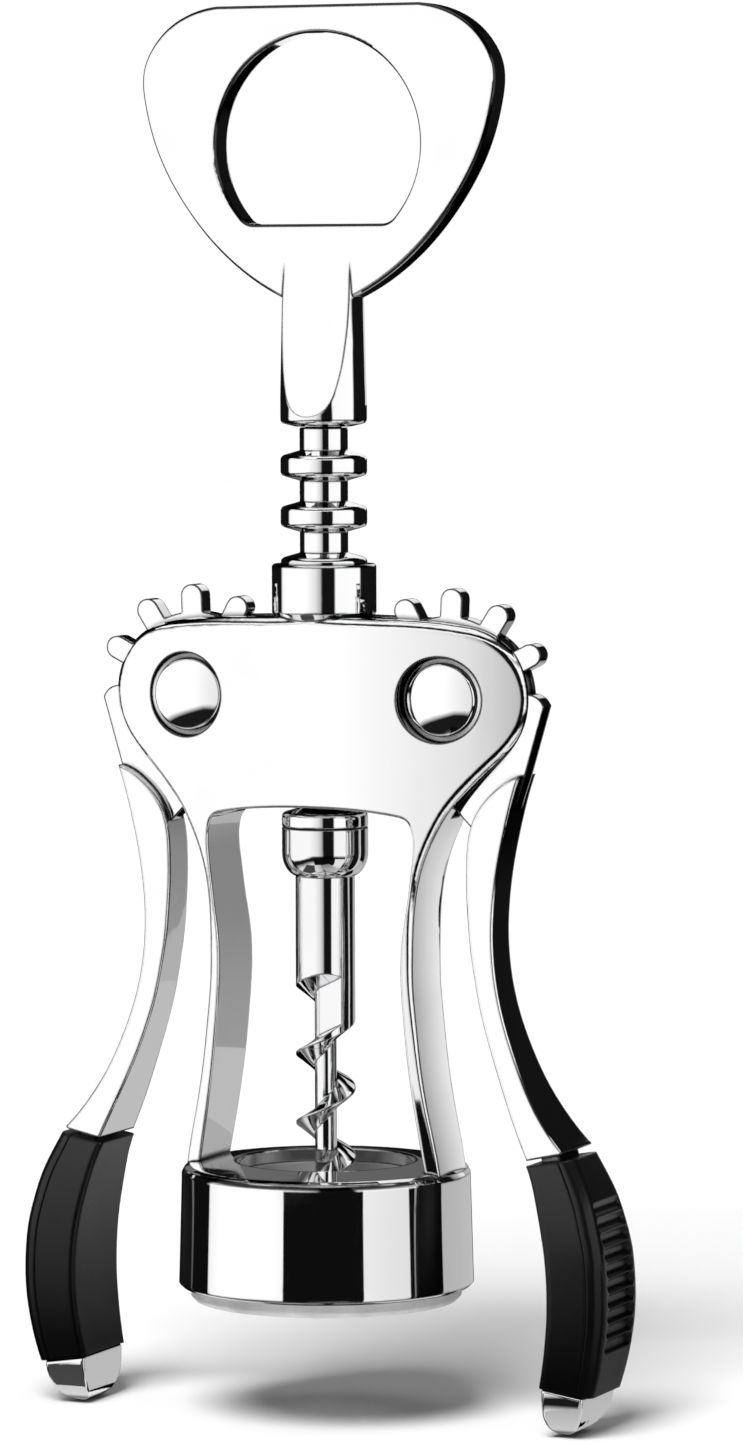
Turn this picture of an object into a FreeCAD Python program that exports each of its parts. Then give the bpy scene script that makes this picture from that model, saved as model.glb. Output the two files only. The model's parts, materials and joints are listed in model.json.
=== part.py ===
"""Lever corkscrew with a bottle-opener handle: one solid per real piece, sizes in millimetres.

Frame: X across the two levers, Y from front (-) to back (+), Z up the screw.
The origin is on the screw axis, at the bottom plane of the plastic seat inside the bell.
"""
import FreeCAD, Part
import os
from math import ceil, cos, pi, radians, sin
from FreeCAD import Vector as V

os.makedirs("parts", exist_ok=True)

# fits
RUN = 0.05              # radial clearance of every running fit
SIDE = 0.10             # clearance each side of the gear plates in their slot
END = 0.15              # end gap between the turning screw and the sliding rack

# bell and plastic seat
BELL_R_TOP = 20.14
BELL_FLARE = 0.44       # how much wider the mouth is than the top
BELL_WALL = 1.14
BELL_MOUTH_Z = 2.0
BELL_R_MOUTH = BELL_R_TOP + BELL_FLARE
BELL_INNER_R = BELL_R_TOP - BELL_WALL
BELL_TOP_Z = 19.4
BELL_TOP_HOLE_R = BELL_INNER_R - 6.4
BELL_ROOF = 2.0
MOUTH_R = BELL_INNER_R - 3.2
MOUTH_DEPTH = 8.0
NECK_SEAT_R = MOUTH_R - 0.6
NECK_SEAT_Z = 12.5

# cast frame
LENS_R = 100.0          # radius of the bowed front and back
LENS_HALF = 6.75        # half thickness on the axis
COLLAR_R = 7.26
COLLAR_TOP_Z = 102.5

# gear of the levers
GEAR_HALF = 1.4
GEAR_ROOT_R = 11.4
TOOTH_HALF = 1.6
TOOTH_TIP_R = 15.2
TOOTH_STEP = 30.3       # degrees between teeth
TOOTH_FIRST = -118.75   # degrees from straight up, outwards positive
TOOTH_COUNT = 7
TIP_GAP = 0.52          # from a tooth's tip to the rack's core
SLOT_GAP = 1.1          # from a tooth's tip to the end of the slot in the casting

# rings of the rack
RACK_R = 6.0
RACK_CORE_R = 3.35
RING_PITCH = 7.07       # TOOTH_STEP rolled on a pitch circle of radius 13.37
RING_COUNT = 7
RINGS_ABOVE_AXLE = 5
RING_HALF_RIM = 1.325
RING_HALF_ROOT = 2.1
RACK_EDGE = 0.15
RING_ROUND = 0.75       # rounding of every ring's rim
RACK_STUB = 5.25        # plain core above the top ring's centre
RACK_TAIL = 0.61        # plain end below the centre of the last ring, which is long

# axles
AXLE_X = RACK_CORE_R + TIP_GAP + TOOTH_TIP_R
AXLE_Z = 84.21
AXLE_R = 3.0
PIN_HEAD_R = 5.05
PIN_RECESS_GAP = 0.835  # ring of open recess round each pin head
PIN_FLOOR = 3.3         # distance of the recess floor from the centre plane
PIN_FACE = 4.75
PIN_DOME_R = 20.0       # how gently the pin heads and caps are domed
PIN_EDGE = 0.35
RIVET_R = 1.9
RIVET_COVER = 0.5       # thickness of the cap over the rivet's end

# places along the screw axis
MESH_RISE = 0.075       # how far the groove opposite an axle sits above it
RING_FIRST_Z = AXLE_Z + MESH_RISE + (RINGS_ABOVE_AXLE - 0.5) * RING_PITCH
RACK_TOP_Z = RING_FIRST_Z + RACK_STUB
RACK_END_Z = RING_FIRST_Z - (RING_COUNT * RING_PITCH + RACK_TAIL)
NECK_END_Z = RACK_TOP_Z + END
WORM_TOP_Z = RACK_END_Z - END

# spindle and worm
SPINDLE_R = 2.5
SPINDLE_STUD_R = 1.7
SPINDLE_STUD = 9.5      # length of the stud in the handle
SPINDLE_GRIP = 11.85    # length of the rod in the worm's head
BORE_END = 0.2          # room past the rod's end
WORM_R = 4.13
WORM_HEAD = 4.35
WORM_CORE_R = 1.52
WORM_PITCH = 9.65
WORM_TIP_Z = 9.5
WORM_GROOVE_END_Z = WORM_TOP_Z - 25.31     # where the groove runs out of the shank
AUGER_TOP_Z = WORM_GROOVE_END_Z - 0.55 * WORM_PITCH
WORM_GROOVE_END = 258      # degrees round the screw where it does so
WORM_UPPER = 1.2           # height of the thread's root above and below its crest
WORM_LOWER = 1.8
WORM_EDGE = 0.12           # half the height of the thread's crest
WORM_BLEND = 0.02          # the auger stands this much proud where it meets the shank
WORM_STEP = 0.05           # the flat run-out lies this far inside the groove

# handle
HANDLE_HALF = 2.15
NECK_R = 6.0
NECK_ROUND = 0.7        # rounding of the neck's lower rim
PLATE_START_Z = NECK_END_Z + 15.5
OPENER_R = 15.31
OPENER_Z = NECK_END_Z + 38.86
OPENER_FLAT_Z = OPENER_Z - 10.96


def from_axle(points):
    """Front-view points given as (outwards, upwards) from the right axle."""
    return [(AXLE_X + x, AXLE_Z + z) for x, z in points]


def from_bell(points):
    """Front-view points given as (outwards, upwards) from the bell's top edge."""
    return [(BELL_R_TOP + x, BELL_TOP_Z + z) for x, z in points]


def depth_from_axle(depths):
    """Side-view (height, half depth) pairs, with the height given from the axle."""
    return [(AXLE_Z + z, half) for z, half in depths]


def above_neck(points):
    """Front-view points given as (sideways, upwards) from the end of the handle's neck."""
    return [(x, NECK_END_Z + z) for x, z in points]


def point(x, z, y=0.0):
    return V(x, y, z)


def line(a, b):
    return Part.makeLine(point(*a), point(*b))


def arc(a, b, c):
    return Part.Arc(point(*a), point(*b), point(*c)).toShape()


def curve(points):
    spline = Part.BSplineCurve()
    spline.interpolate([point(*p) for p in points])
    return spline.toShape()


def slab(edges, half):
    """A front-view outline made solid from -half to +half in Y."""
    face = Part.Face(Part.Wire(Part.__sortEdges__(edges)))
    face.translate(V(0, -half, 0))
    return face.extrude(V(0, 2 * half, 0))


def side_slab(profile, x0, x1):
    """A symmetric side-view shape: profile is a list of (z, half depth) from top to bottom."""
    front = [V(x0, -d, z) for z, d in profile]
    back = [V(x0, d, z) for z, d in profile]
    front_curve, back_curve = Part.BSplineCurve(), Part.BSplineCurve()
    front_curve.interpolate(front)
    back_curve.interpolate(back)
    edges = [front_curve.toShape(), back_curve.toShape(), Part.makeLine(front[0], back[0]),
             Part.makeLine(front[-1], back[-1])]
    return Part.Face(Part.Wire(Part.__sortEdges__(edges))).extrude(V(x1 - x0, 0, 0))


def rod(r, z0, z1, x=0.0, y=0.0):
    return Part.makeCylinder(r, z1 - z0, V(x, y, z0))


def cross_rod(r, y0, y1, x, z):
    """A cylinder along Y."""
    return Part.makeCylinder(r, y1 - y0, V(x, y0, z), V(0, 1, 0))


def turned(profile):
    """A solid of revolution about Z from (radius, z) corners."""
    wire = Part.makePolygon([V(r, 0, z) for r, z in profile + profile[:1]])
    return Part.Face(wire).revolve(V(0, 0, 0), V(0, 0, 1), 360)


def mirrored(shape):
    return shape.mirror(V(0, 0, 0), V(1, 0, 0))


def edges_where(shape, test):
    return [e for e in shape.Edges if test(e)]


def middle(edge):
    return edge.valueAt(0.5 * (edge.FirstParameter + edge.LastParameter))


def lens(z0, z1):
    """The bowed slab that gives the casting its rounded front and back."""
    offset = LENS_R - LENS_HALF
    return rod(LENS_R, z0, z1, 0, offset).common(rod(LENS_R, z0, z1, 0, -offset))


# ---------------------------------------------------------------- cast frame

LEG_OUTER = from_bell([(-4.89, 29.6), (-4.84, 25.1), (-4.44, 20.6), (-3.74, 14.3), (-2.74, 8.2),
                       (-1.74, 3.4), (-1.04, -0.5), (-0.64, -4.4)])
SIDE_OUTLINE = from_axle([(3.63, 9.99), (7.43, 8.59), (9.88, 6.49), (11.53, 3.64), (12.18, 0.59),
                          (11.83, -2.36), (10.73, -4.91), (8.83, -7.36), (6.08, -10.01), (3.48, -12.66),
                          (1.03, -15.61), (-0.57, -18.41), (-1.87, -21.31), (-3.02, -25.21),
                          (-3.67, -30.21)]) + LEG_OUTER
LEG_INNER = from_bell([(-6.24, 31.6), (-6.44, 26.9), (-6.09, 20.9), (-5.47, 14.4), (-4.41, 7),
                       (-3.14, -0.3), (-2.44, -4.4)])
WINDOW_SIDE = from_axle([(-13.57, -15.33), (-8.17, -15.81), (-6.0, -16.15), (-4.85, -16.5),
                         (-4.15, -17.15), (-3.78, -18.1), (-3.58, -19.5), (-3.6, -21.3),
                         (-3.85, -23.51), (-4.5, -28.61)]) + LEG_INNER


HEAD_TOP = from_axle([(-7.57, 10.99), (0.83, 10.44)])
HEAD_RISE = 11.4        # top of the head on the screw axis, above the axles
ARCH_DROP = 15.2        # crown of the window's arch, below the axles
FRAME_EDGE_TOP = 1.5    # edge radius of the head, which fades to the next value down the leg
FRAME_EDGE_FOOT = 0.3
WINDOW_EDGE = 0.25
LEG_SUNK = 4.4          # how far each leg runs down inside the bell's wall


def frame_half():
    """Right half of the flat casting: head, shoulder and one leg. The edge radius fades down the leg."""
    crown, arch_top = (0, AXLE_Z + HEAD_RISE), (0, AXLE_Z - ARCH_DROP)
    foot_z = BELL_TOP_Z - LEG_SUNK
    foot_out, foot_in = (SIDE_OUTLINE[-1][0], foot_z), (WINDOW_SIDE[-1][0], foot_z)
    edges = [curve([crown] + HEAD_TOP + SIDE_OUTLINE[:1]), curve(SIDE_OUTLINE[:-1] + [foot_out]),
             line(foot_out, foot_in), curve([arch_top] + WINDOW_SIDE[:-1] + [foot_in]),
             line(arch_top, crown)]
    half = slab(edges, LENS_HALF + 1).common(lens(foot_z - 1, crown[1] + 1))

    def on_skin(e):
        p = middle(e)
        skin = LENS_HALF - p.x ** 2 / (2 * LENS_R)
        return abs(abs(p.y) - skin) < 0.05 and p.x > 0.5 and e.BoundBox.ZMin < AXLE_Z - ARCH_DROP

    outer = edges_where(half, lambda e: on_skin(e) and e.BoundBox.XMax > AXLE_X + 5)
    half = half.makeFillet(FRAME_EDGE_FOOT, FRAME_EDGE_TOP, outer)
    corner_x = WINDOW_SIDE[4][0]
    window = edges_where(half, lambda e: on_skin(e) and e.BoundBox.XMax < AXLE_X and middle(e).x < corner_x)
    return half.makeFillet(WINDOW_EDGE, window)


def bell_frame():
    """Head, collar, two legs and bell, cast in one; slot, bore and axle seats are cut afterwards."""
    half = frame_half()
    collar_z = AXLE_Z + HEAD_RISE
    collar = turned([(0, collar_z - 1), (LENS_HALF - 0.3, collar_z - 1), (COLLAR_R, collar_z + 0.2),
                     (COLLAR_R, COLLAR_TOP_Z - 0.3), (COLLAR_R - 0.3, COLLAR_TOP_Z), (0, COLLAR_TOP_Z)])
    roof = BELL_TOP_Z - BELL_ROOF
    bell = turned([(0, roof - 1), (BELL_INNER_R, roof - 1), (BELL_INNER_R, BELL_MOUTH_Z),
                   (BELL_R_MOUTH - 0.4, BELL_MOUTH_Z), (BELL_R_MOUTH, BELL_MOUTH_Z + 0.4),
                   (BELL_R_TOP, BELL_TOP_Z - 1.6), (BELL_R_TOP - 0.35, BELL_TOP_Z - 0.95),
                   (BELL_R_TOP - 1.2, BELL_TOP_Z - 0.6), (BELL_TOP_HOLE_R + 0.5, BELL_TOP_Z),
                   (0, BELL_TOP_Z)])
    frame = half.fuse([mirrored(half), collar, bell]).removeSplitter()
    cuts = [rod(RACK_R + RUN, AXLE_Z - ARCH_DROP - 5, COLLAR_TOP_Z + 5),
            rod(BELL_INNER_R, -1, roof), rod(BELL_TOP_HOLE_R, roof - 5, BELL_TOP_Z + 1)]
    slot_r = TOOTH_TIP_R + SLOT_GAP
    recess_r = PIN_HEAD_R + PIN_RECESS_GAP
    skin = LENS_HALF + 1
    for side in (1, -1):
        x = side * AXLE_X
        cuts += [cross_rod(slot_r, -GEAR_HALF - SIDE, GEAR_HALF + SIDE, x, AXLE_Z),
                 cross_rod(AXLE_R, -skin, skin, x, AXLE_Z),
                 cross_rod(recess_r, -skin, -PIN_FLOOR, x, AXLE_Z),
                 cross_rod(recess_r, PIN_FLOOR, skin, x, AXLE_Z)]
    return frame.cut(cuts)


def seat_liner():
    """Plastic insert in the bell: a mouth for the bottle's rim, a closer stretch and a shoulder above."""
    roof = BELL_TOP_Z - BELL_ROOF
    lip_r = BELL_INNER_R - 0.1
    return turned([(MOUTH_R, 0), (lip_r - 0.6, 0), (lip_r, 0.6), (lip_r, BELL_MOUTH_Z),
                   (BELL_INNER_R, BELL_MOUTH_Z), (BELL_INNER_R, roof), (BELL_TOP_HOLE_R, roof),
                   (BELL_TOP_HOLE_R, NECK_SEAT_Z), (NECK_SEAT_R, NECK_SEAT_Z), (NECK_SEAT_R, MOUTH_DEPTH),
                   (MOUTH_R, MOUTH_DEPTH)])


# ---------------------------------------------------------------- axles

def domed_disc(side):
    """Head of an axle, front (-1) or back (1): a disc with a low dome and a rounded rim."""
    low, high = sorted((side * PIN_FLOOR, side * PIN_FACE))
    ball = Part.makeSphere(PIN_DOME_R, V(AXLE_X, side * (PIN_FACE - PIN_DOME_R), AXLE_Z))
    disc = cross_rod(PIN_HEAD_R, low, high, AXLE_X, AXLE_Z).common(ball)
    rim = edges_where(disc, lambda e: abs(middle(e).y) > PIN_FLOOR + 0.1 and e.Length > 20)
    return disc.makeFillet(PIN_EDGE, rim)


def axle_pin():
    """Pin with a low domed head in the front recess and a thin rivet end at the back."""
    shaft = cross_rod(AXLE_R, -PIN_FLOOR, PIN_FLOOR, AXLE_X, AXLE_Z)
    rivet = cross_rod(RIVET_R, PIN_FLOOR, PIN_FACE - RIVET_COVER, AXLE_X, AXLE_Z)
    return domed_disc(-1).fuse([shaft, rivet]).removeSplitter()


def axle_cap():
    """Disc closed over the rivet end in the back recess."""
    return domed_disc(1).cut(cross_rod(RIVET_R, 0, PIN_FACE - RIVET_COVER, AXLE_X, AXLE_Z))


# ---------------------------------------------------------------- levers

ARM_OUTER = from_axle([(11.28, -10.26), (10.48, -12.71), (9.18, -17.71), (8.23, -22.21), (7.58, -26.71),
                       (7.28, -31.21), (7.48, -36.21), (8.23, -40.91), (9.43, -45.21), (10.93, -49.21),
                       (12.58, -52.91), (14.48, -56.21), (16.73, -59.31), (18.53, -61.31)])
ARM_INNER = from_axle([(4.28, -16.61), (3.58, -19.21), (3.33, -22.71), (3.33, -26.21), (3.53, -29.71),
                       (3.93, -34.21), (4.58, -38.21), (5.58, -43.01), (6.78, -47.01), (7.98, -50.41),
                       (9.73, -54.81), (11.63, -59.21), (13.23, -62.71)])
ARM_DEPTH = depth_from_axle([(-4.21, 3.2), (-18.21, 3.2), (-32.21, 3.25), (-40.21, 3.4), (-46.21, 3.7),
                             (-51.21, 4.2), (-56.21, 5), (-60.21, 5.55), (-66.21, 5.9)])
GRIP_INNER = from_axle([(12.93, -63.51), (13.93, -66.01), (14.88, -69.31), (15.68, -72.71), (16.28, -76.21),
                        (16.58, -79.71), (16.63, -83.41), (16.38, -86.91), (15.93, -90.31),
                        (15.28, -93.71)])
GRIP_OUTER = from_axle([(19.83, -62.31), (21.23, -65.01), (22.53, -67.91), (23.68, -71.71), (24.48, -75.21),
                        (24.83, -78.61), (24.93, -81.71), (24.78, -85.21), (24.43, -88.01), (23.88, -91.01),
                        (22.83, -94.91)])
GRIP_DEPTH = depth_from_axle([(-60.21, 5.4), (-63.21, 5.7), (-69.21, 6.7), (-75.21, 7.3), (-81.21, 7.5),
                              (-87.21, 7.4), (-92.21, 7.05), (-96.21, 6.7)])
COVER_WALL = 2.3        # the ribbed cover over the outer side of each grip
SEAM_GAP = 0.12         # width of the seam line round the cover; inside it the cover sits on the body
SEAM_DEPTH = 1.2
TANG_HALF = 1.4
TANG_DEPTH = 3.5
TANG_LINE = from_axle([(15.53, -61.01), (17.93, -71.21), (18.73, -81.21), (18.13, -98.21)])
TIP_INSET = [0.03, 0.86]   # where the cap's top starts and ends along the grip's lower end
TIP_SEAT = 0.03            # gap between them
TIP_OUTLINE = from_axle([(21.33, -97.11), (19.83, -99.71), (17.83, -100.76), (16.33, -100.11),
                         (15.53, -97.61)])
TIP_DEPTH = depth_from_axle([(-92.21, 6.3), (-94.91, 6.3), (-97.21, 5.9), (-99.01, 4.9), (-100.21, 3.5),
                             (-100.81, 2), (-101.11, 0.9)])
TIP_EDGE = 0.45
RIB_COUNT = 10
RIB_PITCH = 2.13
RIB_FIRST_DROP = 68.81  # top groove below the axle
RIB_OUT = 0.45          # groove centres outside the cover's side
RIB_BOW = 0.0105        # how fast the cover's side curves back from its widest point
RIB_GROOVE_R = 1.15
RIB_HALF_WIDTH = 5.2


WEB = from_axle([(2, 0), (11.13, 0.79), (13.33, 0.39), (14.23, -0.81), (11.43, -10.31), (9.43, -16.21),
                 (3.83, -18.01), (-3.47, -10.61)])
SHOULDER = from_axle([(5.43, -14.61), (7.63, -12.26), (9.53, -10.91)])
ARM_END = from_axle([(18.13, -61.66)])[0]
ARM_EDGE = 0.35
GRIP_EDGE_OUT = 2.2
GRIP_EDGE_IN = 0.9


def gear_outline():
    """Toothed hub of the right lever with its flat web, as one thin plate."""
    plate = cross_rod(GEAR_ROOT_R, -GEAR_HALF, GEAR_HALF, AXLE_X, AXLE_Z)
    tip_centre = TOOTH_TIP_R - TOOTH_HALF
    inside = GEAR_ROOT_R - 2
    teeth = []
    for i in range(TOOTH_COUNT):
        angle = TOOTH_FIRST + i * TOOTH_STEP
        neck = Part.makeBox(2 * TOOTH_HALF, 2 * GEAR_HALF, tip_centre - inside,
                            V(-TOOTH_HALF, -GEAR_HALF, inside))
        tooth = neck.fuse(cross_rod(TOOTH_HALF, -GEAR_HALF, GEAR_HALF, 0, tip_centre)).removeSplitter()
        tooth.rotate(V(0, 0, 0), V(0, 1, 0), angle)
        tooth.translate(V(AXLE_X, 0, AXLE_Z))
        teeth.append(tooth)
    web = slab([line(WEB[0], WEB[1]), arc(WEB[1], WEB[2], WEB[3])]
               + [line(WEB[i], WEB[(i + 1) % len(WEB)]) for i in range(3, len(WEB))], GEAR_HALF)
    return plate.fuse(teeth + [web])


def tang():
    """Curved bar inside the grip that carries the tip cap."""
    left = [(x - TANG_HALF, z) for x, z in TANG_LINE]
    right = [(x + TANG_HALF, z) for x, z in TANG_LINE]
    return slab([curve(left), curve(right), line(left[0], right[0]), line(left[-1], right[-1])], TANG_DEPTH)


def lever():
    """Chrome lever: thin gear sector, stepped slender arm that deepens to the grip, and its tang."""
    shoulder = curve([ARM_INNER[0]] + SHOULDER + [ARM_OUTER[0]])
    end = [line(ARM_END, ARM_INNER[-1]), line(ARM_OUTER[-1], ARM_END)]
    arm = slab([curve(ARM_OUTER), curve(ARM_INNER), shoulder] + end, 8)
    arm = arm.common(side_slab(ARM_DEPTH, AXLE_X, AXLE_X + 30))
    arm = arm.makeFillet(ARM_EDGE, edges_where(arm, lambda e: e.Length > 30))
    shape = gear_outline().fuse([arm, tang()]).removeSplitter()
    return shape.cut(cross_rod(AXLE_R + RUN, -2 * GEAR_HALF, 2 * GEAR_HALF, AXLE_X, AXLE_Z))


def grip_blank():
    """Whole outer form of one grip before it is split into body and cover."""
    edges = [curve(GRIP_INNER), curve(GRIP_OUTER), line(GRIP_INNER[0], GRIP_OUTER[0]),
             line(GRIP_INNER[-1], GRIP_OUTER[-1])]
    blank = slab(edges, 9).common(side_slab(GRIP_DEPTH, AXLE_X, AXLE_X + 35))
    centre = 0.5 * (GRIP_INNER[5][0] + GRIP_OUTER[5][0])
    outer = edges_where(blank, lambda e: e.Length > 28 and middle(e).x > centre)
    inner = edges_where(blank, lambda e: e.Length > 28 and middle(e).x < centre)
    return blank.makeFillet(GRIP_EDGE_OUT, outer).makeFillet(GRIP_EDGE_IN, inner)


def cover_side(offset):
    """Everything outside the seam line between grip body and cover."""
    seam = [(x - COVER_WALL + offset, z) for x, z in GRIP_OUTER]
    top, end = seam[0][1] + 1.0, seam[-1][1] - 1.2
    seam = [(seam[0][0] - 0.35, top)] + seam[1:-1] + [(seam[-1][0] - 0.2, end)]
    far = AXLE_X + 35
    return slab([curve(seam), line(seam[0], (far, top)), line((far, top), (far, end)),
                 line((far, end), seam[-1])], 10)


def grip_body():
    return grip_blank().cut([cover_side(0), tang()])


def grip_cover():
    """Outer cover with a row of thumb grooves that end in round scallops."""
    blank = grip_blank()
    low, high = GRIP_INNER[-1][1] + 0.5, GRIP_INNER[0][1] - 0.5
    half = GRIP_DEPTH[0][1] - SEAM_DEPTH
    seat = Part.makeBox(20, 2 * half, high - low, V(GRIP_INNER[0][0], -half, low))
    seated = blank.common(cover_side(0)).common(seat)
    cover = blank.common(cover_side(SEAM_GAP)).fuse(seated).removeSplitter()
    widest_x, widest_z = GRIP_OUTER[6]
    end_y = RIB_HALF_WIDTH - RIB_GROOVE_R
    grooves = []
    for i in range(RIB_COUNT):
        z = AXLE_Z - RIB_FIRST_DROP - i * RIB_PITCH
        x = widest_x + RIB_OUT - RIB_BOW * (z - widest_z) ** 2
        grooves.append(cross_rod(RIB_GROOVE_R, -end_y, end_y, x, z))
        grooves += [Part.makeSphere(RIB_GROOVE_R, V(x, y, z)) for y in (-end_y, end_y)]
    return cover.cut(grooves)


def tip_cap():
    """Chrome cap pressed on the end of the tang, rounded like a thumb nail from the side."""
    (x0, z0), (x1, z1) = GRIP_INNER[-1], GRIP_OUTER[-1]
    inner_top, outer_top = [(x0 + share * (x1 - x0), z0 + share * (z1 - z0) - TIP_SEAT)
                            for share in TIP_INSET]
    edges = [line(inner_top, outer_top), curve([outer_top] + TIP_OUTLINE[:3]),
             curve(TIP_OUTLINE[2:] + [inner_top])]
    cap = slab(edges, 8).common(side_slab(TIP_DEPTH, AXLE_X, AXLE_X + 30))
    return cap.makeFillet(TIP_EDGE, cap.Edges).cut(tang())


# ---------------------------------------------------------------- rack, spindle and worm

def rack_sleeve():
    """Ringed rack with a plain end, bored for the spindle. It slides; it doesn't turn."""
    profile = [(SPINDLE_R + RUN, RACK_TOP_Z), (RACK_CORE_R - RACK_EDGE, RACK_TOP_Z),
               (RACK_CORE_R, RACK_TOP_Z - RACK_EDGE)]
    for i in range(RING_COUNT):
        z = RING_FIRST_Z - i * RING_PITCH
        profile += [(RACK_CORE_R, z + RING_HALF_ROOT), (RACK_R, z + RING_HALF_RIM),
                    (RACK_R, z - RING_HALF_RIM), (RACK_CORE_R, z - RING_HALF_ROOT)]
    last = RING_FIRST_Z - RING_COUNT * RING_PITCH
    profile += [(RACK_CORE_R, last + RING_HALF_ROOT), (RACK_R, last + RING_HALF_RIM),
                (RACK_R, RACK_END_Z + RACK_EDGE), (RACK_R - RACK_EDGE, RACK_END_Z),
                (SPINDLE_R + RUN, RACK_END_Z)]
    sleeve = turned(profile)
    rims = edges_where(sleeve, lambda e: e.BoundBox.XMax > RACK_R - 0.01 and e.BoundBox.ZLength < 0.01
                       and e.BoundBox.ZMin > RACK_END_Z + 1)
    return sleeve.makeFillet(RING_ROUND, rims)


def spindle():
    """Rod through the rack: screwed into the handle above and the worm below."""
    low, high = WORM_TOP_Z - SPINDLE_GRIP, NECK_END_Z + SPINDLE_STUD
    return turned([(0, low), (SPINDLE_R - 0.4, low), (SPINDLE_R, low + 0.4), (SPINDLE_R, NECK_END_Z),
                   (SPINDLE_STUD_R, NECK_END_Z), (SPINDLE_STUD_R, high - 0.4), (SPINDLE_STUD_R - 0.4, high),
                   (0, high)])


def thread_heights(radius):
    """Height of the thread above and below its crest line at a radius."""
    share = (WORM_R - radius) / (WORM_R - WORM_CORE_R)
    return [WORM_EDGE + (root - WORM_EDGE) * share for root in (WORM_UPPER, WORM_LOWER)]


def auger_section(z):
    """Level slice of the auger: round core with one lobe where the thread passes through."""
    around = 2 * pi / WORM_PITCH
    crest = (z - WORM_GROOVE_END_Z - 0.5 * WORM_PITCH) * around + radians(WORM_GROOVE_END)
    core, rim = WORM_CORE_R + 0.5 * WORM_BLEND, WORM_R + 0.5 * WORM_BLEND

    def at(radius, turn):
        return V(radius * cos(crest + turn), radius * sin(crest + turn), z)

    sides = []
    for side, way in ((0, -1), (1, 1)):
        radii = [core + (rim - core) * i / 4 for i in range(5)]
        flank = Part.BSplineCurve()
        flank.interpolate([at(r, way * around * (thread_heights(r)[side] + WORM_BLEND)) for r in radii])
        sides.append(flank.toShape())
    (upper_root, upper_rim), (lower_root, lower_rim) = [[v.Point for v in s.Vertexes] for s in sides]
    crest_arc = Part.Arc(upper_rim, at(rim, 0), lower_rim).toShape()
    core_arc = Part.Arc(lower_root, at(core, pi), upper_root).toShape()
    return Part.Wire([sides[0], crest_arc, sides[1], core_arc])


def auger(blank):
    """Long screw with one sharp right-handed thread, lofted through level slices and turned to a point."""
    steps = ceil((AUGER_TOP_Z - WORM_TIP_Z) / (WORM_PITCH / 12)) + 1
    slices = [auger_section(AUGER_TOP_Z - i * WORM_PITCH / 12) for i in range(steps)]
    return Part.makeLoft(slices[::-1], True, False).common(blank)


def groove_profile(z, back, inset):
    """Upright outline of the groove between two turns of the thread."""
    half = 0.5 * WORM_PITCH - inset
    inner, outer = WORM_CORE_R + inset, WORM_R + 0.15 + inset
    (up_in, low_in), (up_out, low_out) = thread_heights(WORM_CORE_R), thread_heights(WORM_R + 0.15)
    corners = [(inner, up_in - half), (outer, up_out - half), (outer, half - low_out),
               (inner, half - low_in)]
    return Part.makePolygon([V(r, -back, z + height) for r, height in corners + corners[:1]])


def shank_groove():
    """Last stretch of the groove, and the flat along which it runs out of the shank."""
    turns = 1.4
    start_z = WORM_GROOVE_END_Z - turns * WORM_PITCH
    helix = Part.makeHelix(WORM_PITCH, turns * WORM_PITCH, WORM_CORE_R)
    helix.translate(V(0, 0, start_z))
    groove = Part.Wire(helix).makePipeShell([groove_profile(start_z, 0, 0)], True, True)
    groove.rotate(V(0, 0, 0), V(0, 0, 1), WORM_GROOVE_END - 360 * turns)
    run = WORM_R + 1
    start = Part.Face(groove_profile(WORM_GROOVE_END_Z, WORM_STEP, WORM_STEP))
    run_out = start.extrude(V(0, run, 0.45 * run))
    run_out.rotate(V(0, 0, 0), V(0, 0, 1), WORM_GROOVE_END)
    return groove, run_out


def worm():
    """Screw: round head under the rack, plain shank and a long auger with a sharp ridge."""
    neck_z, step = WORM_TOP_Z - WORM_HEAD, RACK_R - WORM_R
    cup = [(RACK_R, neck_z + 0.9), (RACK_R - 0.08 * step, neck_z - 0.2), (RACK_R - 0.3 * step, neck_z - 1.2),
           (RACK_R - 0.62 * step, neck_z - 1.95), (WORM_R, neck_z - 2.35)]
    sides = [(WORM_R, AUGER_TOP_Z), (0, AUGER_TOP_Z), (0, WORM_TOP_Z), (RACK_R, WORM_TOP_Z), cup[0]]
    half = [curve(cup), line(cup[-1], sides[0])] + [line(a, b) for a, b in zip(sides, sides[1:])]
    shank = Part.Face(Part.Wire(half)).revolve(V(0, 0, 0), V(0, 0, 1), 360)
    point = turned([(0, WORM_TOP_Z), (WORM_R + 1, WORM_TOP_Z), (WORM_R + 1, WORM_TIP_Z + 10),
                    (0.53 * WORM_R, WORM_TIP_Z + 2.5), (0.25, WORM_TIP_Z), (0, WORM_TIP_Z)])
    seat = rod(SPINDLE_R, WORM_TOP_Z - SPINDLE_GRIP - BORE_END, WORM_TOP_Z + 1)
    groove, run_out = shank_groove()
    return shank.cut(groove).cut(run_out).cut(seat).fuse(auger(point))


# ---------------------------------------------------------------- handle

HANDLE_SIDE = above_neck([(15.2, 58), (19.3, 57), (22.7, 55), (25, 52.4), (26.25, 49.7), (26.5, 47.3),
                          (26.15, 44.5), (24.95, 39.8), (23.05, 35.3), (20.8, 31.5), (18.15, 27.9),
                          (15.15, 24.6), (11.75, 21.65), (8.7, 19.55), (5.35, 17.75)])


NECK_SIDE = above_neck([(2, 25.5), (2.13, 23), (2.32, 20.9), (2.66, 17.5), (2.96, 14.3), (3.38, 11.4),
                        (3.84, 8.6), (4.3, 6.4), (4.9, 4), (5.5, 2.3), (6.2, 1.1)])
OPENER_CORNER = 2.5
HANDLE_EDGE = 0.5


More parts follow.
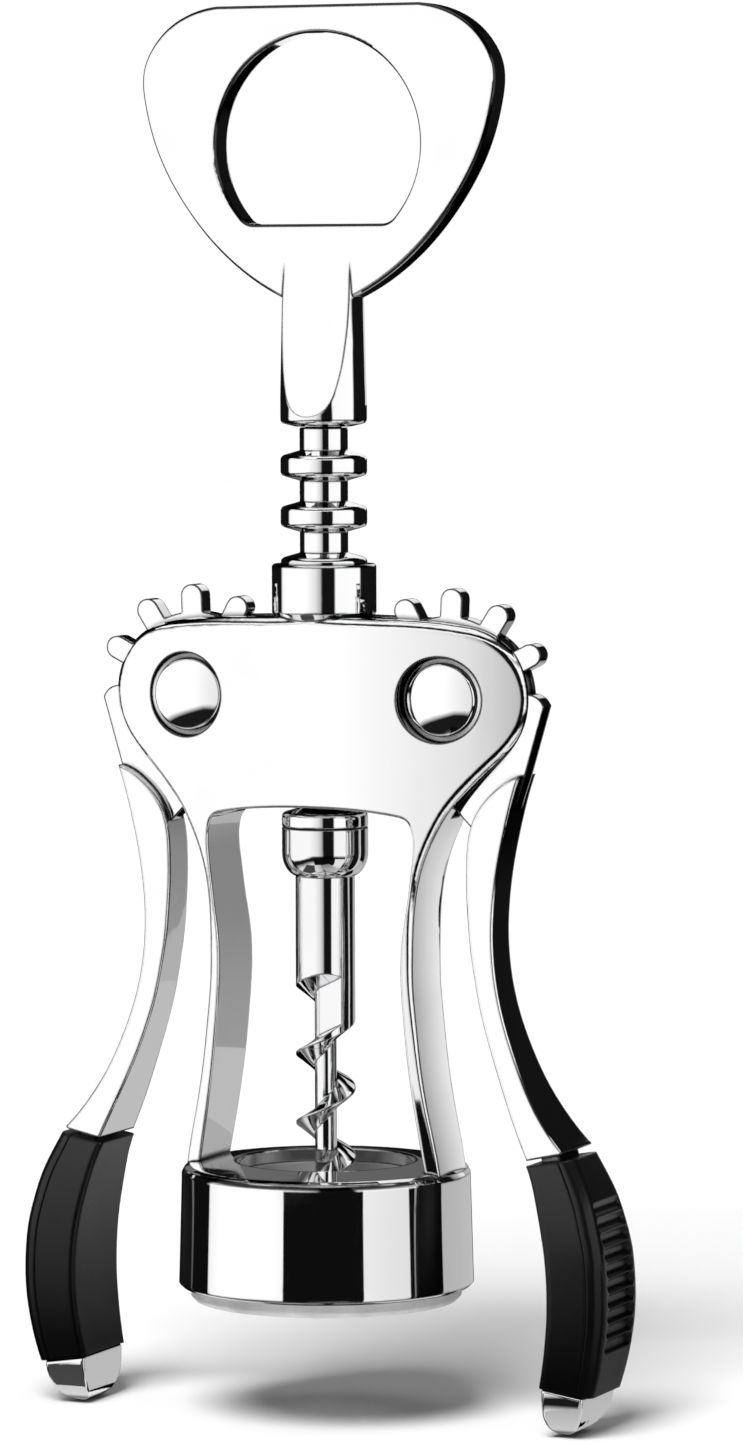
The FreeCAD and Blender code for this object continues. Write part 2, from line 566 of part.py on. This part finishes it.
def opener_hole():
    """D-shaped hole: a round top over a flat lip, with rounded corners."""
    drop = OPENER_Z - OPENER_FLAT_Z
    half_flat = (OPENER_R ** 2 - drop ** 2) ** 0.5
    disc = cross_rod(OPENER_R, -9, 9, 0, OPENER_Z)
    size = 2 * OPENER_R
    disc = disc.cut(Part.makeBox(size, 20, size, V(-OPENER_R, -10, OPENER_FLAT_Z - size)))
    corners = edges_where(disc, lambda e: abs(abs(middle(e).x) - half_flat) < 0.1 and e.Length > 10)
    return disc.makeFillet(OPENER_CORNER, corners)


def handle():
    """Flat opener head and the neck that swells into the round end over the rack."""
    left = [(-x, z) for x, z in HANDLE_SIDE]
    foot, foot_left = (NECK_R - 0.7, PLATE_START_Z), (0.7 - NECK_R, PLATE_START_Z)
    outline = [line(left[0], HANDLE_SIDE[0]), curve(HANDLE_SIDE), curve(left),
               line(HANDLE_SIDE[-1], foot), line(left[-1], foot_left), line(foot_left, foot)]
    plate = slab(outline, HANDLE_HALF).cut(opener_hole())
    rims = edges_where(plate, lambda e: abs(abs(middle(e).y) - HANDLE_HALF) < 0.01
                       and middle(e).z > PLATE_START_Z + 1)
    plate = plate.makeFillet(HANDLE_EDGE, rims)
    top_z = PLATE_START_Z + 8
    round_end = turned([(0, NECK_END_Z), (RACK_CORE_R + 0.6, NECK_END_Z), (NECK_R, NECK_END_Z + 0.5),
                        (NECK_R, NECK_END_Z + 4), (NECK_R - 0.3, PLATE_START_Z + 2), (NECK_R - 0.7, top_z),
                        (0, top_z)])
    shoulder = edges_where(round_end, lambda e: e.BoundBox.XMax > NECK_R - 0.01
                           and e.BoundBox.ZMax < NECK_END_Z + 1)
    round_end = round_end.makeFillet(NECK_ROUND, shoulder)
    stud_seat = rod(SPINDLE_STUD_R, NECK_END_Z - 1, NECK_END_Z + SPINDLE_STUD)
    return plate.fuse(round_end.common(neck_sides())).removeSplitter().cut(stud_seat)


def neck_sides():
    """Side-view limit of the neck: flush with the plate above, swelling to the round end below."""
    swell = side_slab([(z, half) for half, z in NECK_SIDE], -8, 8)
    round_part = Part.makeBox(16, 12.4, 2.6, V(-8, -6.2, NECK_END_Z - 1.5))
    return swell.fuse(round_part)


# ---------------------------------------------------------------- parts

def parts():
    right_side = {"axle_pin": axle_pin(), "axle_cap": axle_cap(), "lever": lever(),
                  "grip_body": grip_body(), "grip_cover": grip_cover(), "tip_cap": tip_cap()}
    shapes = {"bell_frame": bell_frame(), "bottle_seat_liner": seat_liner(), "rack_sleeve": rack_sleeve(),
              "spindle_rod": spindle(), "worm": worm(), "opener_handle": handle()}
    for name, shape in right_side.items():
        shapes[name + "_right"] = shape
        shapes[name + "_left"] = mirrored(shape)
    return shapes


for name, shape in parts().items():
    shape.exportStep("parts/" + name + ".step")
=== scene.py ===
"""Lever corkscrew: a polished casting with a bell, ringed rack and worm, black ribbed grips. Metres, Z up."""
import bpy
import json
from math import asin, cos, radians, sin
from mathutils import Euler, Matrix, Vector


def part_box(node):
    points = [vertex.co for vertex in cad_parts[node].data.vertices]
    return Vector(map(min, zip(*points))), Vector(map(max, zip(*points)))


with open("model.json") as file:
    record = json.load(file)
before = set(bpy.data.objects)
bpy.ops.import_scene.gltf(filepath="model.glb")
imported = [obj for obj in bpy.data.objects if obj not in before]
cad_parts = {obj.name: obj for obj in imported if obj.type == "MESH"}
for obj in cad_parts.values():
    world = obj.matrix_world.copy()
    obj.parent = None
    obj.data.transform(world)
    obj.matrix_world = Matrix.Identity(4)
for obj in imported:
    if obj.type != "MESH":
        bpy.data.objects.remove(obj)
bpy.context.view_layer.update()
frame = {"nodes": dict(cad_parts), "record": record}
nodes = frame["nodes"]


# ---------------------------------------------------------------- camera

CAMERA_TURN = 23.706      # degrees round the screw, from the front towards the right lever
CAMERA_REACH = 0.8803
CAMERA_HEIGHT = 0.14015
AIM_TURN = 23.283
AIM_DOWN = 3.923
CAMERA_ROLL = -0.168
CAMERA_LENS = 157.4


def add_camera():
    data = bpy.data.cameras.new("camera")
    data.lens = CAMERA_LENS
    data.clip_start = 0.01
    camera = bpy.data.objects.new("camera", data)
    bpy.context.scene.collection.objects.link(camera)
    turn = radians(CAMERA_TURN)
    aim = Euler((radians(90 - AIM_DOWN), 0, radians(AIM_TURN))).to_matrix().to_4x4()
    place = Vector((CAMERA_REACH * sin(turn), -CAMERA_REACH * cos(turn), CAMERA_HEIGHT))
    camera.matrix_world = Matrix.Translation(place) @ aim @ Matrix.Rotation(radians(CAMERA_ROLL), 4, "Z")
    bpy.context.scene.camera = camera


# ---------------------------------------------------------------- node helpers

class Wiring:
    """A node tree with short calls for adding and joining nodes."""

    def __init__(self, tree):
        self.tree = tree

    def add(self, kind, **settings):
        node = self.tree.nodes.new(kind)
        for name, value in settings.items():
            setattr(node, name, value)
        return node

    def join(self, source, target):
        self.tree.links.new(source, target)

    def math(self, operation, a, b=None):
        node = self.add("ShaderNodeMath", operation=operation)
        for slot, value in zip(node.inputs, (a, b)):
            if value is None:
                continue
            if isinstance(value, (int, float)):
                slot.default_value = value
            else:
                self.join(value, slot)
        return node.outputs[0]

    def remap(self, value, from_low, from_high, to_low, to_high):
        node = self.add("ShaderNodeMapRange")
        for slot, number in zip(node.inputs[1:5], (from_low, from_high, to_low, to_high)):
            slot.default_value = number
        self.join(value, node.inputs[0])
        return node.outputs[0]

    def blend(self, a, b, factor=1.0, blend_type="MULTIPLY"):
        """Two colours mixed; a, b and factor are sockets or plain values."""
        node = self.add("ShaderNodeMix", data_type="RGBA", blend_type=blend_type)
        for slot, value in (("Factor", factor), ("A", a), ("B", b)):
            if isinstance(value, bpy.types.NodeSocket):
                self.join(value, node.inputs[slot])
            else:
                node.inputs[slot].default_value = value
        return node.outputs["Result"]

    def axes(self, vector):
        """The three parts of a vector, as outputs X, Y and Z."""
        node = self.add("ShaderNodeSeparateXYZ")
        self.join(vector, node.inputs[0])
        return node.outputs

    def own_normal(self):
        """The surface's normal in the piece's own axes, so that it holds when the piece moves."""
        turned = self.add("ShaderNodeVectorTransform", vector_type="NORMAL", convert_from="WORLD",
                          convert_to="OBJECT")
        self.join(self.add("ShaderNodeNewGeometry").outputs["Normal"], turned.inputs[0])
        return turned.outputs[0]

    def noise(self, vector, scale, detail=3.0, roughness=0.5):
        node = self.add("ShaderNodeTexNoise")
        node.inputs["Scale"].default_value = scale
        node.inputs["Detail"].default_value = detail
        node.inputs["Roughness"].default_value = roughness
        self.join(vector, node.inputs["Vector"])
        return node.outputs["Fac"]

    def ramp(self, value, stops):
        node = self.add("ShaderNodeValToRGB")
        bar = node.color_ramp
        while len(bar.elements) < len(stops):
            bar.elements.new(0.5)
        for element, (place, level) in zip(bar.elements, stops):
            element.position = place
            element.color = (level, level, level, 1)
        self.join(value, node.inputs[0])
        return node.outputs["Color"]


def new_material(name):
    material = bpy.data.materials.new(name)
    material.use_nodes = True
    wiring = Wiring(material.node_tree)
    return material, wiring, wiring.tree.nodes["Principled BSDF"]


# ---------------------------------------------------------------- studio

# what the metal reflects at its own height: (degrees round the object, brightness), + to the right
STUDIO_SWEEP = [(-180, 0.006), (-86, 0.006), (-81, 0.9), (-70, 1), (-18, 1), (4, 0.76), (15, 0.45),
                (19, 0.006), (46, 0.006), (49, 0.95), (108, 1), (112, 0.006), (180, 0.006)]
# how much of that is left at other heights: (degrees up, share), and what is overhead
STUDIO_RISE = [(-90, 0.75), (-38, 0.75), (-26, 0.01), (-17.5, 0.01), (-13.5, 1), (22, 1), (32, 0.03),
               (90, 0.03)]
LEAN_SPAN = (-50, -10)    # where round the object the panels' height changes, in degrees
STUDIO_LEAN = (6, -2.5)   # how much lower they hang to the left of that, and to its right, in degrees
OVERHEAD = [(-90, 0), (58, 0), (66, 0.9), (90, 0.9)]
WORLD_LIGHT = 0.05       # strength of the even light from all round
ROOM_LEVEL = 1.07        # strength of what the metal reflects


def add_world():
    """White room with dark panels for reflections; plain white to the camera; soft even light elsewhere."""
    world = bpy.data.worlds.new("studio")
    world.use_nodes = True
    bpy.context.scene.world = world
    wiring = Wiring(world.node_tree)
    place = wiring.add("ShaderNodeTexCoord").outputs["Generated"]
    axes = wiring.axes(place)
    turn = wiring.math("ARCTAN2", axes["X"], wiring.math("MULTIPLY", axes["Y"], -1.0))
    sweep = wiring.ramp(wiring.remap(turn, radians(-180), radians(180), 0, 1), share_of(STUDIO_SWEEP, 360))
    rise = wiring.math("ARCSINE", axes["Z"])
    lean = wiring.remap(turn, *map(radians, LEAN_SPAN + STUDIO_LEAN))
    height = wiring.remap(wiring.math("ADD", rise, lean), radians(-90), radians(90), 0, 1)
    level_part = wiring.ramp(height, share_of(STUDIO_RISE, 180))
    overhead = wiring.ramp(height, share_of(OVERHEAD, 180))
    room = wiring.blend(wiring.blend(sweep, level_part), overhead, blend_type="ADD")
    light_path = wiring.add("ShaderNodeLightPath")
    seen = wiring.math("SUBTRACT", 1.0, light_path.outputs["Is Glossy Ray"])
    background = wiring.tree.nodes["Background"]
    wiring.join(wiring.blend(room, (1, 1, 1, 1), seen, "MIX"), background.inputs["Color"])
    even = wiring.remap(light_path.outputs["Is Diffuse Ray"], 0, 1, 1, WORLD_LIGHT)
    mirrored = wiring.remap(light_path.outputs["Is Glossy Ray"], 0, 1, 1, ROOM_LEVEL)
    wiring.join(wiring.math("MULTIPLY", even, mirrored), background.inputs["Strength"])


def share_of(stops, span):
    """Stops in degrees as stops from 0 to 1, over a span that is centred on 0 degrees."""
    return [(0.5 + degree / span, level) for degree, level in stops]


def stage_hidden_from(panel, *rays):
    """A staged piece that these kinds of ray pass through."""
    for ray in rays:
        setattr(panel, "visible_" + ray, False)


# share of the bell's half width from, to, brightness at each end: bands that show on the bell alone
BELL_BANDS = [(-0.95, -0.8, 0.004, 0.004), (-0.293, 0.25, 0.004, 0.004), (0.25, 0.565, 0.83, 0.74),
              (0.565, 0.68, 0.004, 0.004), (0.68, 0.995, 0.4, 0.5)]
BELL_R = 0.0204
CARD_REACH = 0.15         # how far the bell's cards stand from it
CARD_STEPS = 6            # strips across a card
CARD_LOW, CARD_HIGH = -0.08, 0.008
RIM_LOW, RIM_HIGH = 0.168, 0.205      # a white card overhead for the bell's top edge
# upright cards for faces that look sideways or up: y, then rows of z, x from, to, brightness at each end
UPRIGHT_CARDS = {
    "leg": (0.137, [(0.003, 0.036, 0.060, 0.32, 0.32), (0.085, 0.036, 0.060, 0.18, 0.2)]),
    "lever": (0.136, [(0.003, -0.03, 0.0362, 0.42, 0.42), (0.079, -0.03, 0.0362, 0.42, 0.42)]),
    "far_leg": (0.012, [(0.018, 0.0215, 0.0290, 0.85, 0.12), (0.042, 0.0180, 0.0255, 0.85, 0.12),
                        (0.080, 0.0200, 0.0290, 0.55, 0.03)]),
    "bell_top": (0.137, [(0.036, -0.15, 0.0, 0.16, 0.1), (0.079, -0.15, 0.0, 0.16, 0.1)]),
    "handle_back": (0.137, [(0.122, -0.06, 0.028, 0.9, 0.55), (0.19, -0.06, 0.028, 1, 0.75)]),
    "neck": (-0.015, [(0.1250, -0.012, 0.001, 1, 1), (0.1450, -0.012, 0.001, 1, 1)])}
# cards lying under the lever tips: rows of x, y from, to, brightness at each end
LYING_Z = -0.04
LYING_CARDS = {
    "left_front": [(-0.08, -0.12, -0.014, 0.05, 0.06), (-0.02, -0.12, -0.014, 0.05, 0.06)],
    "left": [(-0.08, -0.014, 0.05, 0.6, 0.8), (-0.02, -0.014, 0.05, 0.6, 0.8)],
    "right": [(0.02, -0.12, 0.05, 0.2, 0.7), (0.08, -0.12, 0.05, 0.2, 0.7)]}


def mirrored_place(share):
    """Where a card's edge has to stand to show at this share of the bell's half width."""
    facing = radians(CAMERA_TURN) + asin(share)
    sight = 2 * facing - radians(CAMERA_TURN)
    return (BELL_R * sin(facing) + CARD_REACH * sin(sight), -BELL_R * cos(facing) - CARD_REACH * cos(sight))


def add_card(name, rows):
    """Card that only the metal sees; rows of (x, y, z, brightness), each row as long as the next."""
    count = len(rows[0])
    points = [point for row in rows for point in row]
    corners = [row * count + i for row in range(len(rows) - 1) for i in range(count - 1)]
    mesh = bpy.data.meshes.new(name + "_card")
    faces = [(c, c + 1, c + count + 1, c + count) for c in corners]
    mesh.from_pydata([point[:3] for point in points], [], faces)
    shade = mesh.color_attributes.new("shade", "FLOAT_COLOR", "POINT")
    for entry, (*place, level) in zip(shade.data, points):
        entry.color = (level, level, level, 1)
    card = bpy.data.objects.new(mesh.name, mesh)
    bpy.context.scene.collection.objects.link(card)
    material, wiring, surface = new_material(mesh.name)
    surface.inputs["Base Color"].default_value = (0, 0, 0, 1)
    surface.inputs["Specular IOR Level"].default_value = 0.0
    level = wiring.add("ShaderNodeAttribute", attribute_name="shade")
    wiring.join(level.outputs["Color"], surface.inputs["Emission Color"])
    surface.inputs["Emission Strength"].default_value = ROOM_LEVEL
    mesh.materials.append(material)
    stage_hidden_from(card, "camera", "diffuse", "shadow", "transmission")


def between(first, last, share):
    return first + (last - first) * share


def graded(start, end, first, last):
    """Steps across a card as (place, brightness) pairs."""
    return [(between(start, end, i / CARD_STEPS), between(first, last, i / CARD_STEPS))
            for i in range(CARD_STEPS + 1)]


def add_cards():
    """Every card that the metal mirrors; none of them lights anything."""
    for number, band in enumerate(BELL_BANDS):
        run = [(*mirrored_place(share), level) for share, level in graded(*band)]
        add_card("bell_%d" % number,
                 [[(x, y, z, level) for x, y, level in run] for z in (CARD_LOW, CARD_HIGH)])
    turns = [radians(turn) for turn in range(-85, 110, 15)]
    add_card("rim", [[(CARD_REACH * sin(turn), -CARD_REACH * cos(turn), z, 1) for turn in turns]
                     for z in (RIM_LOW, RIM_HIGH)])
    for name, (y, rows) in UPRIGHT_CARDS.items():
        add_card(name, [[(x, y, z, level) for x, level in graded(*across)] for z, *across in rows])
    for name, rows in LYING_CARDS.items():
        add_card(name, [[(x, y, LYING_Z, level) for y, level in graded(*across)] for x, *across in rows])


FLOOR_SIZE = 8
FLOOR_GAP = 0.0002        # how far the floor lies under the grips' tips
FLOOR_SHADE = 0.93
SHADOW_DISC_R = 0.0195
SHADOW_DISC_Z = 0.0006


def add_floor():
    low = min(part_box(name)[0].z for name in nodes)
    bpy.ops.mesh.primitive_plane_add(size=FLOOR_SIZE, location=(0, 0, low - FLOOR_GAP))
    floor = bpy.context.object
    floor.name = "floor"
    material, wiring, surface = new_material("floor_white")
    surface.inputs["Base Color"].default_value = (FLOOR_SHADE, FLOOR_SHADE, FLOOR_SHADE, 1)
    surface.inputs["Roughness"].default_value = 1.0
    surface.inputs["Specular IOR Level"].default_value = 0.0
    floor.data.materials.append(material)
    stage_hidden_from(floor, "glossy")


def add_shadow_disc():
    """Disc in the bell's mouth that only shadows know, so that the bell's shadow on the floor has no hole."""
    bpy.ops.mesh.primitive_circle_add(vertices=64, radius=SHADOW_DISC_R, fill_type="NGON",
                                      location=(0, 0, SHADOW_DISC_Z))
    disc = bpy.context.object
    disc.name = disc.data.name = "shadow_disc"
    stage_hidden_from(disc, "camera", "diffuse", "glossy", "transmission")


def add_soft_light(name, turn, rise, spread, strength):
    """Large soft light far off, turn degrees round from the front and rise degrees up."""
    data = bpy.data.lights.new(name, "SUN")
    data.angle = radians(spread)
    data.energy = strength
    light = bpy.data.objects.new(name, data)
    light.rotation_euler = Euler((radians(90 - rise), 0, radians(turn)))
    light.visible_glossy = False
    bpy.context.scene.collection.objects.link(light)


# ---------------------------------------------------------------- finishes

# how far the polish rounds an edge on turned pieces and on castings, and a mould on plastic
TURNED_SOFTNESS, CAST_SOFTNESS, MOULD_SOFTNESS = 0.0003, 0.0005, 0.0005
CREVICE_SHADE_REACH = 0.0015        # width of the painted shade in crevices and where pieces meet
SMUDGE_TONE = 0.98        # how bright a smudge leaves the metal
SMUDGE_ROUGHNESS = 0.03   # how much rougher it makes it
SCRATCH_DEPTH = 0.0001
GRAIN_DEPTH = 0.00004
CHROME_COLOUR = (0.94, 0.94, 0.945)
STEEL_COLOUR = (0.88, 0.88, 0.885)
CAST_NODES = ("bell_frame", "lever_left", "lever_right")
# the handle's flat head: what is higher than its neck, or further out
HANDLE_FLAT_Z = 0.1478
HANDLE_NECK_R = 0.0066


def handling_group():
    """Faint smudges and fine scratches, as masks, for anything polished."""
    group = bpy.data.node_groups.new("handling_marks", "ShaderNodeTree")
    group.interface.new_socket("Vector", in_out="INPUT", socket_type="NodeSocketVector")
    group.interface.new_socket("Smudge", in_out="OUTPUT", socket_type="NodeSocketFloat")
    group.interface.new_socket("Scratch", in_out="OUTPUT", socket_type="NodeSocketFloat")
    wiring = Wiring(group)
    start, end = wiring.add("NodeGroupInput"), wiring.add("NodeGroupOutput")
    cloudy = wiring.noise(start.outputs["Vector"], 90, 4.0, 0.6)
    wiring.join(wiring.remap(cloudy, 0.5, 0.72, 0.0, 1.0), end.inputs["Smudge"])
    stretch = wiring.add("ShaderNodeMapping")
    stretch.inputs["Rotation"].default_value = (0.3, 0.2, 0.5)
    stretch.inputs["Scale"].default_value = (60, 2500, 260)
    wiring.join(start.outputs["Vector"], stretch.inputs["Vector"])
    fine = wiring.noise(stretch.outputs["Vector"], 1.0, 2.0)
    wiring.join(wiring.remap(fine, 0.66, 0.8, 0.0, 1.0), end.inputs["Scratch"])
    return group


def painted_edge_reflection(wiring, rounded_normal, tone):
    """Painted dark reflection: white, but tone where the rounded normal turns away from the face, which is
    along edges.
    """
    turned_away = wiring.add("ShaderNodeVectorMath", operation="DOT_PRODUCT")
    wiring.join(rounded_normal, turned_away.inputs[0])
    wiring.join(wiring.add("ShaderNodeNewGeometry").outputs["Normal"], turned_away.inputs[1])
    return wiring.ramp(turned_away.outputs["Value"], [(0.97, tone), (0.992, 1)])


def paint_flat_head_edges(wiring, colour, place, tone):
    """The colour, times tone on the rounded edges of the handle's flat head: a painted dark reflection."""
    flatness = wiring.math("ABSOLUTE", wiring.axes(wiring.own_normal())["Y"])
    painted_edge_dark = wiring.ramp(flatness, [(0.2, 1), (0.35, tone), (0.86, tone), (0.96, 1)])
    axes = wiring.axes(place)
    past_neck = wiring.math("GREATER_THAN", wiring.math("ABSOLUTE", axes["X"]), HANDLE_NECK_R)
    over_neck = wiring.math("GREATER_THAN", axes["Z"], HANDLE_FLAT_Z)
    return wiring.blend(colour, painted_edge_dark, wiring.math("MAXIMUM", over_neck, past_neck))


def polished_metal(name, colour, roughness, softness, painted_edge_tone, marks, flat_head=False):
    """Bright metal with painted shade in narrow gaps and, by its edge tone, a painted dark reflection along
    its edges, which face the dark panels.
    """
    material, wiring, surface = new_material(name)
    surface.inputs["Metallic"].default_value = 1.0
    place = wiring.add("ShaderNodeTexCoord").outputs["Object"]
    handling = wiring.add("ShaderNodeGroup", node_tree=marks)
    wiring.join(place, handling.inputs["Vector"])
    dulled = (*(SMUDGE_TONE * c for c in colour), 1)
    tint = wiring.blend((*colour, 1), dulled, handling.outputs["Smudge"], "MIX")
    # painted shade: the metal's colour darkens in narrow gaps and crevices
    crevice_shade = wiring.add("ShaderNodeAmbientOcclusion", samples=8)
    crevice_shade.inputs["Distance"].default_value = CREVICE_SHADE_REACH
    tint = wiring.blend(tint, wiring.ramp(crevice_shade.outputs["AO"], [(0.4, 0.03), (0.75, 1)]))
    soft_edge = wiring.add("ShaderNodeBevel", samples=12)
    soft_edge.inputs["Radius"].default_value = softness
    # painted dark reflection along the edges
    tint = wiring.blend(tint, painted_edge_reflection(wiring, soft_edge.outputs["Normal"], painted_edge_tone))
    if flat_head:
        # painted dark reflection on the flat head's rounded edges
        tint = paint_flat_head_edges(wiring, tint, place, painted_edge_tone)
    wiring.join(tint, surface.inputs["Base Color"])
    smudge = wiring.math("MULTIPLY", handling.outputs["Smudge"], SMUDGE_ROUGHNESS)
    wiring.join(wiring.math("ADD", smudge, roughness), surface.inputs["Roughness"])
    bump = wiring.add("ShaderNodeBump")
    bump.inputs["Strength"].default_value = 0.02
    bump.inputs["Distance"].default_value = SCRATCH_DEPTH
    wiring.join(soft_edge.outputs["Normal"], bump.inputs["Normal"])
    wiring.join(handling.outputs["Scratch"], bump.inputs["Height"])
    wiring.join(bump.outputs["Normal"], surface.inputs["Normal"])
    return material


def moulded_plastic(name, low, high, roughness, grain):
    """Plastic whose colour and sheen change with height; low and high are (height, colour, sheen). On the
    grips this is painted light: painted shade low down, a painted sheen higher up.
    """
    material, wiring, surface = new_material(name)
    place = wiring.add("ShaderNodeTexCoord").outputs["Object"]
    height = wiring.axes(place)["Z"]
    mottle = wiring.noise(place, 120, 4.0, 0.6)
    shade = wiring.remap(height, low[0], high[0], low[1], high[1])
    shade = wiring.math("MULTIPLY", shade, wiring.remap(mottle, 0.3, 0.7, 0.8, 1.2))
    tint = wiring.add("ShaderNodeCombineColor")
    for channel in ("Red", "Green", "Blue"):
        wiring.join(shade, tint.inputs[channel])
    wiring.join(tint.outputs["Color"], surface.inputs["Base Color"])
    # painted shade: the sheen is taken away in seams and crevices
    crevice_shade = wiring.add("ShaderNodeAmbientOcclusion", samples=8)
    crevice_shade.inputs["Distance"].default_value = CREVICE_SHADE_REACH
    sheen = wiring.remap(height, low[0], high[0], low[2], high[2])
    outside_crevice_shade = wiring.remap(crevice_shade.outputs["AO"], 0.55, 0.95, 0, 1)
    wiring.join(wiring.math("MULTIPLY", sheen, outside_crevice_shade), surface.inputs["Coat Weight"])
    surface.inputs["Coat Roughness"].default_value = 0.2
    surface.inputs["Specular IOR Level"].default_value = 0.06
    roughness_here = wiring.remap(mottle, 0.3, 0.7, roughness - 0.05, roughness + 0.06)
    wiring.join(roughness_here, surface.inputs["Roughness"])
    soft_edge = wiring.add("ShaderNodeBevel", samples=8)
    soft_edge.inputs["Radius"].default_value = MOULD_SOFTNESS
    bump = wiring.add("ShaderNodeBump")
    bump.inputs["Strength"].default_value = 0.25
    bump.inputs["Distance"].default_value = GRAIN_DEPTH
    wiring.join(wiring.noise(place, grain, 2.0), bump.inputs["Height"])
    wiring.join(soft_edge.outputs["Normal"], bump.inputs["Normal"])
    for slot in ("Normal", "Coat Normal"):
        wiring.join(bump.outputs["Normal"], surface.inputs[slot])
    return material


def finish_nodes():
    """Each piece's finish, by its node's name or else by its material slot."""
    marks = handling_group()
    # the fifth figure is how dark the painted reflection along the edges is
    chrome = polished_metal("polished_chrome", CHROME_COLOUR, 0.025, TURNED_SOFTNESS, 0.6, marks)
    cast = polished_metal("cast_chrome", CHROME_COLOUR, 0.025, CAST_SOFTNESS, 0.1, marks)
    flat = polished_metal("flat_chrome", CHROME_COLOUR, 0.025, CAST_SOFTNESS, 0.06, marks, flat_head=True)
    steel = polished_metal("worm_steel", STEEL_COLOUR, 0.05, TURNED_SOFTNESS, 0.6, marks)
    # grips: painted shade and sheen, darker and dull low down, lighter and glossier higher up
    black = moulded_plastic("grip_plastic", (-0.008, 0.001, 0), (0.022, 0.005, 0.8), 0.32, 2600)
    # seat: lighter at its lower lip, darker higher up
    pale = moulded_plastic("seat_plastic", (0.003, 0.7, 0.3), (0.008, 0.24, 0.3), 0.4, 1500)
    by_slot = {"chrome": chrome, "worm_steel": steel, "grip_black": black, "seat_plastic": pale}
    by_node = {"opener_handle": flat, **dict.fromkeys(CAST_NODES, cast)}
    for row in frame["record"]["subparts"]:
        finish = by_node.get(row["node"], by_slot[row["material_slot"]])
        nodes[row["node"]].material_slots[0].material = finish


add_camera()
add_world()
add_floor()
add_shadow_disc()
add_cards()
add_soft_light("overhead", 0, 86, 50, 0.56)
add_soft_light("front", 4, 52, 28, 3.45)
finish_nodes()
bpy.context.scene.view_settings.view_transform = "Standard"
